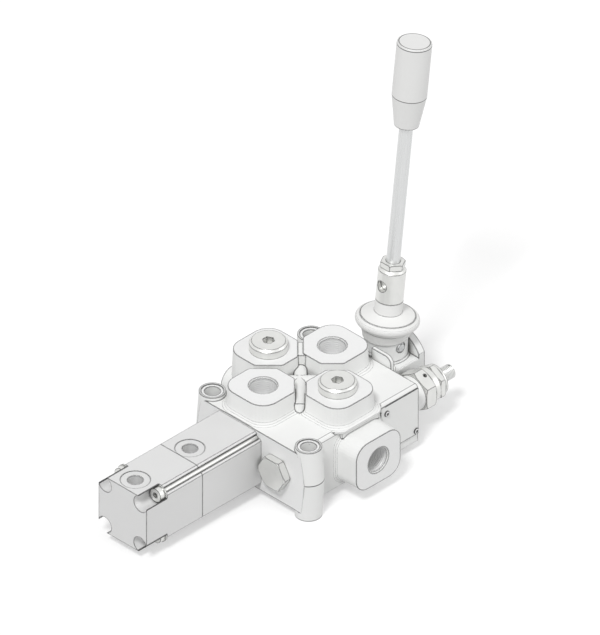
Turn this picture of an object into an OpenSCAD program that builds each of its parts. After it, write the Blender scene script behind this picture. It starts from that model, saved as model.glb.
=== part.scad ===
// One-section hydraulic directional valve: cast body, spool moved by an air cylinder on the left
// and by a hand lever on the right, relief valve beside the lever. Millimetres, +Z up.
// The origin is the centre of the rear left mounting hole, in the plane of the feet.

/* [Body casting] */
// Length of the body along the spool
body_l = 95.5; // [93:0.5:110]
// From the spool axis to the front face
body_front = 47.8; // [46.5:0.1:52]
// From the spool axis to the rear face
body_back = 27; // [26:0.1:30]
// Height of the body without its feet
body_h = 39.5; // [39:0.5:44]
// Round of the long body edges
edge_r = 2; // [0.5:0.1:3]
// Gap under the body, which is the height of the feet
foot_h = 5; // [3:0.5:10]

/* [Mounting posts] */
// From the left end of the body to the left mounting holes
hole_in_left = 7.85; // [7.5:0.05:9]
// From the right end of the body to the right mounting hole
hole_in_right = 9.35; // [9.3:0.05:11]
// Distance between the front and rear mounting holes
hole_pitch_y = 76.4; // [75:0.1:80]
// From the spool axis to the rear mounting holes
hole_back = 27.8; // [27:0.1:30]
// Radius of a mounting hole, for an M8 screw
hole_r = 4.5; // [3.5:0.1:5]
// Radius of a post at the foot
foot_r = 7.8; // [7:0.1:8.2]
// Radius of a post at the mould joint, half way up the body
post_mid_r = 9; // [8.2:0.1:9.2]
// Radius of a post at the top
post_top_r = 7.7; // [7.2:0.1:8.2]
// How far a post stands above the body
post_rise = 2.2; // [1:0.1:5]
// Radius of the machined ring on a post
spot_r = 6.5; // [5.5:0.1:7]

/* [Hydraulic ports] */
// Wall radius of a threaded port, G 3/8
port_r = 7.475; // [6.8:0.005:7.6]
// Radius of the countersunk mouth of a port
port_mouth_r = 8.33; // [8:0.01:8.6]
// Depth of a port thread
port_depth = 12; // [11.5:0.5:13]
// Half width of a top boss
boss_half = 17.2; // [16.5:0.1:17.6]
// Corner radius of a top boss
boss_corner = 10.5; // [7:0.5:12]
// Height of the top bosses above the body
boss_h = 13.4; // [13:0.1:18]
// From the left end of the body to port A
port_a_in = 20.35; // [19.35:0.05:20.75]
// From the right end of the body to port B
port_b_in = 20.15; // [19.35:0.05:20.75]
// From the spool axis to the plugged pressure port
top_p_y = 31.7; // [31:0.1:32.5]
// From the spool axis to the plugged tank port
top_t_y = 23.1; // [22.6:0.1:24]
// Gap between the front boss and its neighbours
gap_front = 6.4; // [5:0.1:8]
// Gap between the rear boss and its neighbours
gap_back = 3; // [2:0.1:5]
// Height of the webs between the top bosses
web_h = 6.7; // [5:0.1:9]
// Radius of the pillars that end those webs
web_r = 3.8; // [3.3:0.1:4.2]

/* [Side ports] */
// How far the side bosses stand out of the body
side_reach = 16.4; // [14.5:0.1:20]
// Half width of a side boss along the spool
side_half_x = 17.5; // [15:0.1:19]
// Half height of a side boss
side_half_z = 15.6; // [14:0.1:16]
// Corner radius of a side boss
side_corner = 9; // [6:0.5:11]
// Root fillet of all bosses
flare = 3.5; // [1:0.1:4]

/* [Plugs] */
// Radius of the collar of a top plug
plug_collar_r = 11.1; // [10.5:0.1:12]
// Height of that collar below its chamfer
plug_collar_h = 4.4; // [3:0.1:6]
// Height and width of the chamfer on it
plug_chamfer = 1.4; // [0.5:0.1:2]
// Key size of the socket in a top plug
plug_key = 6; // [5:0.5:8]
// Width across flats of the end plug
end_plug_af = 19; // [17:0.5:22]
// Thickness of the end plug's head
end_plug_h = 5; // [4:0.5:8]

/* [Spool] */
// Radius of the spool
spool_r = 8; // [7.8:0.01:8.2]
// Running clearance of the spool in its bore, on the radius
spool_fit = 0.03; // [0.01:0.01:0.1]
// Travel of the spool each way
stroke = 5.1; // [3:0.1:5.3]
// Radius of the grooves turned in the spool
spool_neck_r = 5; // [4.5:0.1:6]
// Radius of the cored grooves round the bore
groove_r = 10.5; // [9.5:0.1:11]

/* [Air cylinder] */
// Side of the square cylinder blocks
block_side = 38; // [37:0.1:39]
// Length of the inner block
inner_l = 46.8; // [46:0.1:52]
// Length of the outer block
outer_l = 44.5; // [44:0.1:50]
// Chamfer along the block edges
block_chamfer = 4.6; // [4:0.1:5]
// Width of the slots that show the screws
slot_w = 3.1; // [2:0.1:4.5]
// From a block face to a screw axis
screw_inset = 4.95; // [4.8:0.05:5.3]
// Radius of the long screws, M5
screw_r = 2.5; // [2:0.1:2.6]
// Depth of the screw head recess in the outer block
recess_depth = 16.5; // [13:0.5:22]
// Radius of the screw head recess
recess_r = 5.12; // [5:0.01:5.4]
// Wall radius of an air port, G 1/8
air_port_r = 4.3; // [4:0.05:4.6]
// Depth of an air port thread
air_port_depth = 7; // [5:0.5:7.5]
// From the outer end to the outer air port
air_port_out = 10.1; // [9:0.1:14]
// From the joint of the blocks to the inner air port
air_port_in = 9; // [8:0.1:14]
// Radius of the spot face of an air port
air_spot_r = 8.55; // [7:0.05:9.5]
// Radius of the cylinder bore
cyl_r = 11; // [10:0.1:11.2]
// Length of the piston
piston_l = 20; // [16:0.5:24]
// Radius of the piston rod
rod_r = 4; // [3.8:0.1:4.4]

/* [Relief valve] */
// From the spool axis to the relief valve axis
relief_y = 31.4; // [31:0.1:32]
// Length of the cast boss that takes the relief valve
relief_boss_l = 12.55; // [10:0.05:16]
// Radius of that boss
relief_boss_r = 10.5; // [10:0.1:10.9]
// Width across flats of the relief valve body
relief_af = 22; // [20:0.5:22.5]
// Length of its hexagon
relief_hex_l = 7.9; // [6:0.1:10]
// Radius of the ring behind the hexagon
relief_ring_r = 10.5; // [9:0.1:11]
// Length of that ring
relief_ring_l = 4.7; // [3:0.1:6]
// Width across flats of the lock nut
locknut_af = 19; // [17:0.5:19]
// Thickness of the lock nut
locknut_l = 4.2; // [3:0.1:6]
// Radius of the adjusting screw
adjuster_r = 4.3; // [4.1:0.1:4.6]
// How far the adjusting screw stands out of the washer
adjuster_out = 11.6; // [8:0.1:16]

/* [Lever box] */
// Thickness of the box flange
flange_t = 2.45; // [2:0.05:4]
// Half width of the box flange
flange_half = 26.3; // [25.8:0.1:27.5]
// Height of the flange above the body
flange_rise = 7; // [5:0.1:9]
// Half width of the box
box_half = 17.5; // [17:0.1:18]
// Length of the box behind its flange
box_l = 28.6; // [28.4:0.1:32]
// Height of the box deck above the spool axis
deck_h = 7.45; // [7.2:0.05:8]
// Radius of the turret under the boot
turret_r = 12.5; // [12.2:0.1:13]
// Height of the turret top above the deck
turret_h = 13.8; // [13.3:0.1:14]
// Radius of the disc at the end of the box
disc_r = 20; // [18.5:0.1:21]
// Thickness of that disc
disc_t = 4.7; // [4:0.1:6]
// Radius of the end cover set into the disc
cover_r = 15.3; // [15:0.1:16]
// Radius of the pivot pin
pin_r = 3; // [2.5:0.1:3.2]

/* [Lever] */
// Height of the pivot above the spool axis
pivot_h = 16.55; // [16.3:0.05:16.8]
// From the box flange to the pivot
pivot_reach = 19.6; // [19.4:0.1:19.8]
// Lean of the lever at rest, in degrees
lever_lean = 6.86; // [5:0.01:8]
// Swing of the lever each way, in degrees
lever_swing = 18; // [8:0.5:18]
// Radius of the ball at the foot of the lever
ball_r = 4; // [3.6:0.1:4.2]
// Radius of the lever hub
hub_r = 8; // [7.5:0.1:9]
// From the pivot to the foot of the hub
hub_from = 26.4; // [26:0.1:28]
// From the pivot to the top of the hub
hub_to = 47.5; // [44:0.1:54]
// Width across flats of the lever nut
lever_nut_af = 13; // [12:0.5:14]
// Thickness of the lever nut
lever_nut_l = 3.6; // [3:0.1:6.5]
// Radius of the lever rod
lever_rod_r = 4; // [3.5:0.1:4.2]
// From the pivot to the foot of the knob
knob_from = 140.3; // [110:0.1:180]
// Length of the knob
knob_l = 53.9; // [45:0.1:60]
// Radius of the knob at its foot
knob_foot_r = 7.2; // [6:0.1:9]
// Radius of the knob at its top
knob_top_r = 10.1; // [9.5:0.1:12]
// Length of the knob's taper
knob_taper_l = 19.4; // [10:0.1:30]
// Greatest radius of the rubber boot
boot_r = 18.5; // [17.5:0.1:19]
// Wall of the rubber boot
boot_wall = 1.4; // [1:0.1:2]

/* [Hidden] */
$fn = 64;
over = 1;
fit = 0.05;
big = 200;

iron = [0.86, 0.87, 0.86];
light_grey = [0.80, 0.81, 0.82];
zinc = [0.82, 0.83, 0.80];
steel = [0.68, 0.69, 0.70];
rubber = [0.90, 0.90, 0.89];
black_rubber = [0.13, 0.13, 0.13];
plastic = [0.93, 0.93, 0.92];

spool_z = foot_h + body_h / 2;
body_top = foot_h + body_h;
x_left = -body_l / 2;
x_right = body_l / 2;
hole_left = body_l / 2 - hole_in_left;
hole_pitch_x = body_l - hole_in_left - hole_in_right;
boss_top = body_top + boss_h;
side_front_y = -body_front - side_reach;
side_back_y = body_back + side_reach;
spot_depth = 0.5;

posts = [
    [-hole_left, hole_back],
    [-hole_left, hole_back - hole_pitch_y],
    [hole_pitch_x - hole_left, hole_back]
];

// Centres of the top bosses: A left, B right, P front, T rear
boss_a = [x_left + port_a_in, 0];
boss_b = [x_right - port_b_in, 0];
boss_p = [0, -top_p_y];
boss_t = [0, top_t_y];

// Cored grooves along the spool bore
p_groove_x = 12;
ab_groove_x = 24;
t_groove_x = 34.5;
groove_w = 6;
ab_groove_w = 7;
passage_r = 5;
top_passage_r = 4.4;
end_play = 1;
drill_r = 3.3;
bridge_r = 3.5;
bridge_y = -17;
tank_y = 17;
tank_r = 4;
stub_r = 2.4;
drain_x = t_groove_x;

// Check valve and relief valve share one long drilling
cross_r = 6.5;
seat_r = 4.5;
check_seat_x = -14;
check_pocket_l = 7;
check_pocket_r = 8.5;
check_poppet_l = 12;
end_plug_shank = 12;
relief_seat_x = 12;
relief_face_x = x_right + relief_boss_l;
relief_thread_l = 20;

// Seals: groove width and depth follow the ring section
ring_s = 1;
seal_r = 1.2;
spool_seal_x = 2.25;

// Air cylinder
x_joint = x_left - inner_l;
x_outer = x_joint - outer_l;
screw_off = block_side / 2 - screw_inset;
head_r = screw_r * 1.7;
head_l = screw_r * 1.4;
washer_t = 1;
screw_in_body = 10;
cyl_end_wall = 6;
cyl_in_l = 22.5;
piston_x = x_joint + 2.05;
piston_out_x = piston_x - piston_l;
cyl_in_x = x_joint + cyl_in_l;
cyl_out_x = x_outer + cyl_end_wall;
rod_end_r = 3;
spool_left = x_left + 1.75;
spool_room_l = stroke + 4.15;
spool_thread_l = 11;
nut_af = 10;
nut_l = 5;

// Relief valve stations along its axis
x_hex_end = relief_face_x + relief_hex_l;
x_ring_end = x_hex_end + relief_ring_l;
x_locknut_end = x_ring_end + locknut_l;
relief_washer_r = relief_ring_r - 1;
relief_washer_l = 1.7;
x_washer_end = x_locknut_end + relief_washer_l;
x_adjuster_end = x_washer_end + adjuster_out;
relief_bore_r = 4;
relief_poppet_l = 8;
spring_guide_l = 6;
adjuster_from = relief_face_x - 2;

// Lever box stations along the spool
x_flange = x_right + flange_t;
x_box_end = x_flange + box_l;
gasket_t = 0.5;
cover_t = 2;
x_disc_end = x_box_end + disc_t;
x_cover = x_disc_end - cover_t;
x_gasket = x_cover - gasket_t;
pivot_x = x_flange + pivot_reach;
pivot_z = spool_z + pivot_h;
turret_x = pivot_x + 0.5;
deck_z = spool_z + deck_h;
turret_top = deck_z + turret_h;
turret_bore_r = turret_r - 3.2;
box_bore_r = spool_r + 1.5;
box_screw_r = 2;
box_screw_y = 20.5;
box_screw_z = 14.75;
cover_screw_r = 1.5;
cover_screw_at = (box_bore_r + cover_r) / 2;
arm_l = pivot_h / cos(lever_lean);
ball_x = pivot_x - arm_l * sin(lever_lean);
pocket_half = ball_r + 0.2;
shank_r = 2.2;
pocket_flare = shank_r + 0.1 + spool_r * tan(lever_lean + lever_swing);
spool_right = ball_x + pocket_flare + 1.4;
eye_r = 6;
eye_half = 6.2;
stem_r = 5;
neck_r = 6;
rod_sink = 18;
boot_lip = 0.9;
boot_top = hub_from - 7.9;

module datum() {
    translate([hole_left, -hole_back, 0]) children();
}

module on_spool() {
    datum() translate([0, 0, spool_z]) children();
}

module on_relief() {
    on_spool() translate([0, -relief_y, 0]) children();
}

module on_lever() {
    datum() translate([pivot_x, 0, pivot_z]) rotate([0, lever_lean, 0]) children();
}

module rod_x(from, to, r) {
    translate([from, 0, 0]) rotate([0, 90, 0]) cylinder(h = to - from, r = r);
}

module cone_x(from, to, r1, r2) {
    translate([from, 0, 0]) rotate([0, 90, 0]) cylinder(h = to - from, r1 = r1, r2 = r2);
}

module hole_y(from, to, r) {
    translate([0, from, 0]) rotate([-90, 0, 0]) cylinder(h = to - from, r = r);
}

// Hexagon prism on z = 0 with its two faces chamfered round
module hex_nut(af, h, top_only = false) {
    corner = af / sqrt(3);
    bevel = (corner - af / 2) * 0.8;
    rise = bevel * tan(30);
    intersection() {
        cylinder(h = h, r = corner, $fn = 6);
        rotate_extrude() polygon([
            [0, 0],
            [top_only ? corner + bevel : corner - bevel, 0],
            [corner + bevel, top_only ? 0 : 2 * rise],
            [corner + bevel, h - 2 * rise], [corner - bevel, h], [0, h]
        ]);
    }
}

// The same along X; turn = 90 puts its corners at the sides
module hex_x(from, to, af, turn = 0) {
    translate([from, 0, 0]) rotate([0, 90, 0]) rotate(turn) hex_nut(af, to - from);
}

module ring(r, s) {
    rotate_extrude() translate([r, 0]) circle(r = s, $fn = 24);
}

module ring_x(x, r, s) {
    translate([x, 0, 0]) rotate([0, 90, 0]) ring(r, s);
}

module tube_x(from, to, r_out, r_in) {
    difference() {
        rod_x(from, to, r_out);
        rod_x(from - over, to + over, r_in);
    }
}

// Open coil spring along +Z, filling 0 to length
module coil(r, wire, length, turns) {
    sides = 6;
    steps = 12 * turns;
    pts = [
        for (i = [0:steps]) let (a = 360 * turns * i / steps, z = wire + (length - 2 * wire) * i / steps)
            for (j = [0:sides - 1]) let (b = 360 * j / sides, d = r + wire * cos(b))
                [d * cos(a), d * sin(a), z + wire * sin(b)]
    ];
    skin = [
        for (i = [0:steps - 1]) for (j = [0:sides - 1]) let (k = (j + 1) % sides)
            [i * sides + j, i * sides + k, (i + 1) * sides + k, (i + 1) * sides + j]
    ];
    polyhedron(
        points = pts,
        faces = concat(
            [[for (j = [sides - 1:-1:0]) j]],
            [for (f = skin) each [[f[0], f[1], f[2]], [f[0], f[2], f[3]]]],
            [[for (j = [0:sides - 1]) steps * sides + j]]
        ),
        convexity = 10
    );
}

module coil_x(from, to, r, wire, turns) {
    translate([from, 0, 0]) rotate([0, 90, 0]) coil(r, wire, to - from, turns);
}

module round_rect(half_x, half_y, r) {
    square([2 * half_x, 2 * (half_y - r)], center = true);
    square([2 * (half_x - r), 2 * half_y], center = true);
    for (sx = [-1, 1], sy = [-1, 1]) translate([sx * (half_x - r), sy * (half_y - r)]) circle(r = r);
}

// One corner of a boss outline, in the quarter where x and y are positive: an arc, or where
// flat is given, a 45 degree flat at that distance from the centre with its ends rounded off
corner_steps = 8;
flat_round = 2.5;
function arc(c, r, from, to, n) =
    [for (i = [0:n]) let (a = from + (to - from) * i / n) c + r * [cos(a), sin(a)]];
function corner_points(hx, hy, r, flat) =
    is_undef(flat) ? arc([hx - r, hy - r], r, 0, 90, corner_steps) :
    let (r = flat_round, rest = (flat - r) * sqrt(2)) concat(
        arc([hx - r, rest - (hx - r)], r, 0, 45, corner_steps / 2),
        arc([rest - (hy - r), hy - r], r, 45, 90, corner_steps / 2)
    );
function turned(pts, k) = [
    for (p = pts) [p[0] * cos(90 * k) - p[1] * sin(90 * k), p[0] * sin(90 * k) + p[1] * cos(90 * k)]
];
function boss_outline(hx, hy, r, flats) = [
    for (k = [0:3]) each turned(corner_points(k % 2 == 0 ? hx : hy, k % 2 == 0 ? hy : hx, r, flats[k]), k)
];

// Cast boss standing on z = 0 and reaching down by drop: fillet at the root, then a drafted wall to h
flare_steps = 4;
boss_draft = 0.4;
function grown(outline, half, more) = [for (p = outline) p * (half + more) / half];
module cast_boss(h, half, outline, fillet, drop) {
    levels = concat(
        [[-drop, boss_draft + fillet]],
        [for (i = [0:flare_steps]) let (a = 90 * i / flare_steps)
            [fillet * (1 - cos(a)), boss_draft + fillet * (1 - sin(a))]],
        [[h, 0]]
    );
    n = len(outline);
    m = len(levels);
    polyhedron(
        points = [for (l = levels) for (p = grown(outline, half, l[1])) [p[0], p[1], l[0]]],
        faces = concat(
            [[for (j = [0:n - 1]) j]],
            [for (i = [0:m - 2]) for (j = [0:n - 1]) let (k = (j + 1) % n)
                [i * n + j, (i + 1) * n + j, (i + 1) * n + k, i * n + k]],
            [[for (j = [n - 1:-1:0]) (m - 1) * n + j]]
        ),
        convexity = 4
    );
}

// Distance from a boss centre to the flat that faces its neighbour
function flat_at(own, other, gap) =
    (abs(other[0] - own[0]) + abs(other[1] - own[1])) / sqrt(2) / 2 - gap / 2;

// flats holds the four corners' flats, from the +X +Y corner on, anticlockwise. The fillet
// ends at the body's ends and rear face; at the front it hangs over as a lip
boss_lip = 3.9;
module top_boss(at, flats, drop) {
    outline = boss_outline(boss_half, boss_half, boss_corner, flats);
    translate([at[0], at[1], body_top]) intersection() {
        cast_boss(boss_h, boss_half, outline, flare, drop);
        union() {
            translate([x_left - at[0], -body_front - boss_lip - at[1], -big])
                cube([body_l, body_front + boss_lip + body_back, 2 * big]);
            translate([0, 0, -drop - over]) linear_extrude(height = boss_h + drop + 2 * over)
                polygon(grown(outline, boss_half, boss_draft + 0.1));
        }
    }
}

function web_side(own, other) =
    let (way = [sign(own[0]) + sign(other[0]), sign(own[1]) + sign(other[1])]) [way[0], -way[1]] / sqrt(2);
function web_mid(own, other) =
    let (side = web_side(own, other)) side * (own * side + other * side) / 2;
web_out = boss_half * 1.4;
web_half = web_r - 0.3;
roof_r = web_r + 0.2;

// Puts its children in the gap between two bosses: X runs out along the gap, z = 0 on the body top
module in_gap(own, other, shift = 0) {
    side = web_side(own, other);
    mid = web_mid(own, other) + side * shift;
    translate([mid[0], mid[1], body_top]) rotate(atan2(-side[1], side[0])) children();
}

// Web in the gap between two bosses, ending in a pillar; both have the same round top
module boss_web(own, other, shift = 0) {
    in_gap(own, other, shift) intersection() {
        union() {
            translate([0, -web_half, -over]) cube([web_out, 2 * web_half, web_h + over]);
            translate([web_out, 0, -over]) cylinder(h = web_h + over, r = web_r);
        }
        translate([-over, 0, 0]) rotate([90, 0, 90]) linear_extrude(height = web_out + 2 * roof_r) {
            translate([0, web_h - roof_r]) circle(r = roof_r);
            translate([-roof_r, -2 * over]) square([2 * roof_r, web_h - roof_r + 2 * over]);
        }
    }
}

// Web that fills the gap nearly to the boss tops, from where the bosses' faces meet the gap
module high_web(own, other, gap) {
    from = (abs(own[0]) + abs(other[0]) + abs(own[1]) + abs(other[1]) - 2 * boss_half) / sqrt(2) - gap / 2;
    in_gap(own, other) translate([from, -web_half, -over])
        cube([web_out - 1 - from, 2 * web_half, boss_h - 0.4 + over]);
}

module post(at) {
    h = body_top + post_rise;
    translate([at[0], at[1], 0]) {
        cylinder(h = spool_z, r1 = foot_r, r2 = post_mid_r);
        translate([0, 0, spool_z]) cylinder(h = h - spool_z, r1 = post_mid_r, r2 = post_top_r);
    }
}

module side_boss(y, way) {
    none = [undef, undef, undef, undef];
    translate([0, y, spool_z]) rotate([-way * 90, 0, 0])
        cast_boss(side_reach, side_half_x, boss_outline(side_half_x, side_half_z, side_corner, none),
            min(flare, 2.8), over);
}

module port_cut() {
    translate([0, 0, -port_depth]) cylinder(h = port_depth + over, r = port_r);
    mouth = port_mouth_r - port_r;
    translate([0, 0, -mouth]) cylinder(h = mouth, r1 = port_r, r2 = port_mouth_r);
    cylinder(h = over, r = port_mouth_r);
}

module body_block() {
    translate([x_left, 0, foot_h]) rotate([90, 0, 90]) linear_extrude(height = body_l)
        translate([(body_back - body_front) / 2, body_h / 2])
            round_rect((body_back + body_front) / 2, body_h / 2, edge_r);
}

module body_casting() {
    body_block();
    intersection() {
        union() for (p = posts) post(p);
        union() {
            translate([x_left, -big, foot_h]) cube([body_l + big, 2 * big, big]);
            translate([-big, -big, 0]) cube([2 * big, 2 * big, foot_h]);
        }
    }
    front_a = flat_at(boss_a, boss_p, gap_front);
    front_b = flat_at(boss_b, boss_p, gap_front);
    back_a = flat_at(boss_a, boss_t, gap_back);
    back_b = flat_at(boss_b, boss_t, gap_back);
    top_boss(boss_a, [back_a, undef, undef, front_a], over);
    top_boss(boss_b, [undef, back_b, front_b, undef], over);
    top_boss(boss_p, [front_b, front_a, undef, undef], over);
    top_boss(boss_t, [undef, undef, back_a, back_b], body_h / 2 - side_half_z + over);
    boss_web(boss_a, boss_p, 0.5);
    boss_web(boss_b, boss_p);
    boss_web(boss_a, boss_t);
    boss_web(boss_b, boss_t);
    high_web(boss_b, boss_t, gap_back);
    side_boss(-body_front, -1);
    lip_fill();
    side_boss(body_back, 1);
    translate([0, -relief_y, spool_z]) rod_x(x_right - over, relief_face_x, relief_boss_r);
    side_pad();
}

// Metal under the front lip, down to the side boss
module lip_fill() {
    half = side_half_x - 3;
    low = spool_z + side_half_z - over;
    translate([-half, -body_front - 2.4, low]) cube([2 * half, 2.4 + over, body_top - over / 2 - low]);
}

// Flat pad on the front face, between the side boss and the right end
side_pad_t = 0.5;
side_pad_from = boss_half + 0.8;
side_pad_low = 11.5;
module side_pad() {
    translate([side_pad_from, -body_front - side_pad_t, side_pad_low])
        cube([x_right - side_pad_from, side_pad_t + over, body_top - edge_r - side_pad_low]);
}

module body_passages() {
    for (s = [-1, 1]) {
        for (x = [p_groove_x, t_groove_x]) translate([0, 0, spool_z])
            rod_x(s * x - groove_w / 2, s * x + groove_w / 2, groove_r);
        translate([0, 0, spool_z])
            rod_x(s * ab_groove_x - ab_groove_w / 2, s * ab_groove_x + ab_groove_w / 2, groove_r);
        translate([s * ab_groove_x, 0, spool_z]) cylinder(h = boss_top - spool_z, r = drill_r);
        translate([s * p_groove_x, 0, spool_z]) hole_y(bridge_y, 0, stub_r);
        translate([s * t_groove_x, 0, spool_z]) hole_y(0, tank_y, stub_r);
    }
    translate([0, bridge_y, spool_z])
        rod_x(check_seat_x - bridge_r - stub_r - end_play, p_groove_x + stub_r + end_play, bridge_r);
    translate([check_seat_x - bridge_r, 0, spool_z]) hole_y(-relief_y, bridge_y, stub_r);
    translate([0, tank_y, spool_z])
        rod_x(-t_groove_x - stub_r - end_play, t_groove_x + stub_r + end_play, tank_r);
    translate([drain_x, 0, spool_z]) hole_y(-relief_y, 0, stub_r);
    translate([0, 0, spool_z]) {
        hole_y(side_front_y, -relief_y, passage_r);
        hole_y(tank_y, side_back_y, passage_r);
    }
    for (p = [boss_p, boss_t]) translate([p[0], p[1], spool_z])
        cylinder(h = boss_top - spool_z, r = top_passage_r);
}

module cross_drilling() {
    translate([0, -relief_y, spool_z]) {
        rod_x(x_left - over, x_left + end_plug_shank, port_r);
        rod_x(x_left + end_plug_shank - over, check_seat_x, cross_r);
        rod_x(check_seat_x - check_pocket_l, check_seat_x, check_pocket_r);
        rod_x(check_seat_x - over, relief_seat_x + over, seat_r);
        rod_x(relief_seat_x, relief_face_x, cross_r);
        rod_x(relief_face_x - relief_thread_l, relief_face_x + over, port_r);
    }
}

module spool_bore() {
    translate([0, 0, spool_z]) {
        rod_x(x_left - over, x_right + over, spool_r + spool_fit);
        for (s = [-1, 1]) translate([s * (x_right - spool_seal_x), 0, 0])
            rod_x(-seal_r - fit, seal_r + fit, spool_r + spool_fit + 2 * seal_r + fit);
    }
}

module valve_body() {
    color(iron) datum() difference() {
        body_casting();
        for (p = posts) translate([p[0], p[1], 0]) {
            translate([0, 0, -over]) cylinder(h = body_top + post_rise + 2 * over, r = hole_r);
            translate([0, 0, body_top + post_rise - spot_depth]) cylinder(h = over, r = spot_r);
        }
        spool_bore();
        body_passages();
        cross_drilling();
        for (p = [boss_a, boss_b, boss_p, boss_t]) translate([p[0], p[1], boss_top]) port_cut();
        translate([0, side_front_y, spool_z]) rotate([90, 0, 0]) port_cut();
        translate([0, side_back_y, spool_z]) rotate([-90, 0, 0]) port_cut();
        translate([0, 0, spool_z]) for (sy = [-1, 1], sz = [-1, 1]) {
            translate([0, sy * screw_off, sz * screw_off])
                rod_x(x_left - over, x_left + screw_in_body + over, screw_r + fit);
            translate([0, sy * box_screw_y, sz * box_screw_z])
                rod_x(x_right - box_screw_l - over, x_right + over, box_screw_r + fit);
        }
        side_pin_places() rotate([-90, 0, 0]) translate([0, 0, -over])
            cylinder(h = pin_sink + over + 0.5, r = pin_shank_r + fit);
    }
}

// Top plugs with their collars on the boss faces, and the seal rings under the collars
plug_seal_t = 1;
plug_seal_in = port_r + 1.1;
plug_seal_out = plug_collar_r - 0.9;
module top_plug_places() {
    for (p = [boss_p, boss_t]) datum() translate([p[0], p[1], boss_top]) children();
}

module top_plugs() {
    color(zinc) top_plug_places() difference() {
        union() {
            cylinder(h = plug_collar_h, r = plug_collar_r);
            translate([0, 0, plug_collar_h])
                cylinder(h = plug_chamfer, r1 = plug_collar_r, r2 = plug_collar_r - plug_chamfer);
            translate([0, 0, -port_depth + over]) cylinder(h = port_depth, r = port_r - fit);
        }
        translate([0, 0, plug_collar_h + plug_chamfer - plug_key * 0.8])
            cylinder(h = plug_key, r = plug_key / sqrt(3), $fn = 6);
        translate([0, 0, -over]) difference() {
            cylinder(h = plug_seal_t + over, r = plug_seal_out);
            translate([0, 0, -over]) cylinder(h = plug_seal_t + 3 * over, r = plug_seal_in);
        }
    }
}

module top_plug_seals() {
    color(black_rubber) top_plug_places() difference() {
        cylinder(h = plug_seal_t, r = plug_seal_out);
        translate([0, 0, -over]) cylinder(h = plug_seal_t + 2 * over, r = plug_seal_in);
    }
}

module end_plug() {
    color(zinc) on_relief() difference() {
        union() {
            hex_x(x_left - end_plug_h, x_left, end_plug_af, 90);
            rod_x(x_left - over, x_left + end_plug_shank - fit, port_r - fit);
        }
        tube_x(x_left - ring_s, x_left + over, port_r + ring_s, port_r - 0.2);
    }
}

module end_plug_seal() {
    color(black_rubber) on_relief() tube_x(x_left - ring_s, x_left, port_r + ring_s, port_r - 0.2);
}

// Drive pins with domed heads at two corners of the pad
pin_head_r = 1.9;
pin_shank_r = 0.8;
pin_sink = 4;
side_pin_at = [[side_pad_from + 4.5, 12.75], [x_right - 1.95, -10.65]];
module side_pin_places() {
    for (p = side_pin_at)
        translate([p[0], -body_front - side_pad_t, spool_z + p[1]]) children();
}

module side_pins() {
    color(steel) datum() side_pin_places() rotate([-90, 0, 0]) {
        intersection() {
            translate([0, 0, -0.9]) cylinder(h = 0.9, r = pin_head_r);
            translate([0, 0, pin_head_r * 0.8]) sphere(r = pin_head_r * 1.4);
        }
        cylinder(h = pin_sink, r = pin_shank_r);
    }
}

// Check valve: the poppet rests just off its seat and lifts towards the end plug
check_nose_gap = 0.1;
module check_poppet() {
    nose = 2.5;
    x_nose = check_seat_x - check_nose_gap;
    x_body = x_nose - (cross_r - seat_r);
    color(steel) on_relief() difference() {
        union() {
            cone_x(x_body, x_nose + nose, cross_r - fit, seat_r - nose);
            rod_x(x_nose - check_poppet_l, x_body, cross_r - fit);
        }
        rod_x(x_nose - check_poppet_l - over, x_nose - check_poppet_l + 7, seat_r);
    }
}

module check_spring() {
    color(steel) on_relief()
        coil_x(x_left + end_plug_shank, check_seat_x - check_nose_gap - check_poppet_l + 7, 3.6, 0.5, 5);
}

// Spool: lands between turned grooves, a thread at the left end, a pocket for the lever ball at the right
land_mid = 7;
neck_in = 17.5;
neck_out = 30.5;
land_out = 37.5;
module spool() {
    color(steel) on_spool() difference() {
        rod_x(spool_left, spool_right, spool_r);
        for (s = [-1, 1]) {
            for (x = [[land_mid, neck_in], [neck_out, land_out]])
                tube_x(min(s * x[0], s * x[1]), max(s * x[0], s * x[1]), spool_r + over, spool_neck_r);
        }
        rod_x(spool_left - over, spool_left + spool_thread_l, rod_end_r + fit);
        translate([ball_x, pocket_half, 0]) rotate([90, 0, 0]) linear_extrude(height = 2 * pocket_half)
            polygon([
                [-pocket_half, -pocket_half], [pocket_half, -pocket_half], [pocket_half, 2.5],
                [pocket_flare, spool_r + over], [-pocket_flare, spool_r + over], [-pocket_half, 2.5]
            ]);
    }
}

module spool_seals() {
    color(black_rubber) on_spool() for (s = [-1, 1])
        ring_x(s * (x_right - spool_seal_x), spool_r + spool_fit + fit + seal_r, seal_r);
}

// Square cylinder blocks with chamfered edges, each edge slotted down to its long screw
module screw_places() {
    on_spool() for (sy = [-1, 1], sz = [-1, 1])
        translate([0, sy * screw_off, sz * screw_off]) rotate([atan2(sz, sy), 0, 0]) children();
}

module block_blank(from, to) {
    h = block_side / 2;
    c = block_chamfer;
    translate([from, 0, 0]) rotate([90, 0, 90]) linear_extrude(height = to - from)
        polygon([
            [h - c, -h], [h, -h + c], [h, h - c], [h - c, h],
            [-h + c, h], [-h, h - c], [-h, -h + c], [-h + c, -h]
        ]);
}

module screw_slots(from, to) {
    for (sy = [-1, 1], sz = [-1, 1])
        translate([0, sy * screw_off, sz * screw_off]) rotate([atan2(sz, sy), 0, 0]) {
            rod_x(from - over, to + over, screw_r + 0.2);
            translate([from - over, 0, -slot_w / 2]) cube([to - from + 2 * over, screw_inset + over, slot_w]);
        }
}

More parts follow.
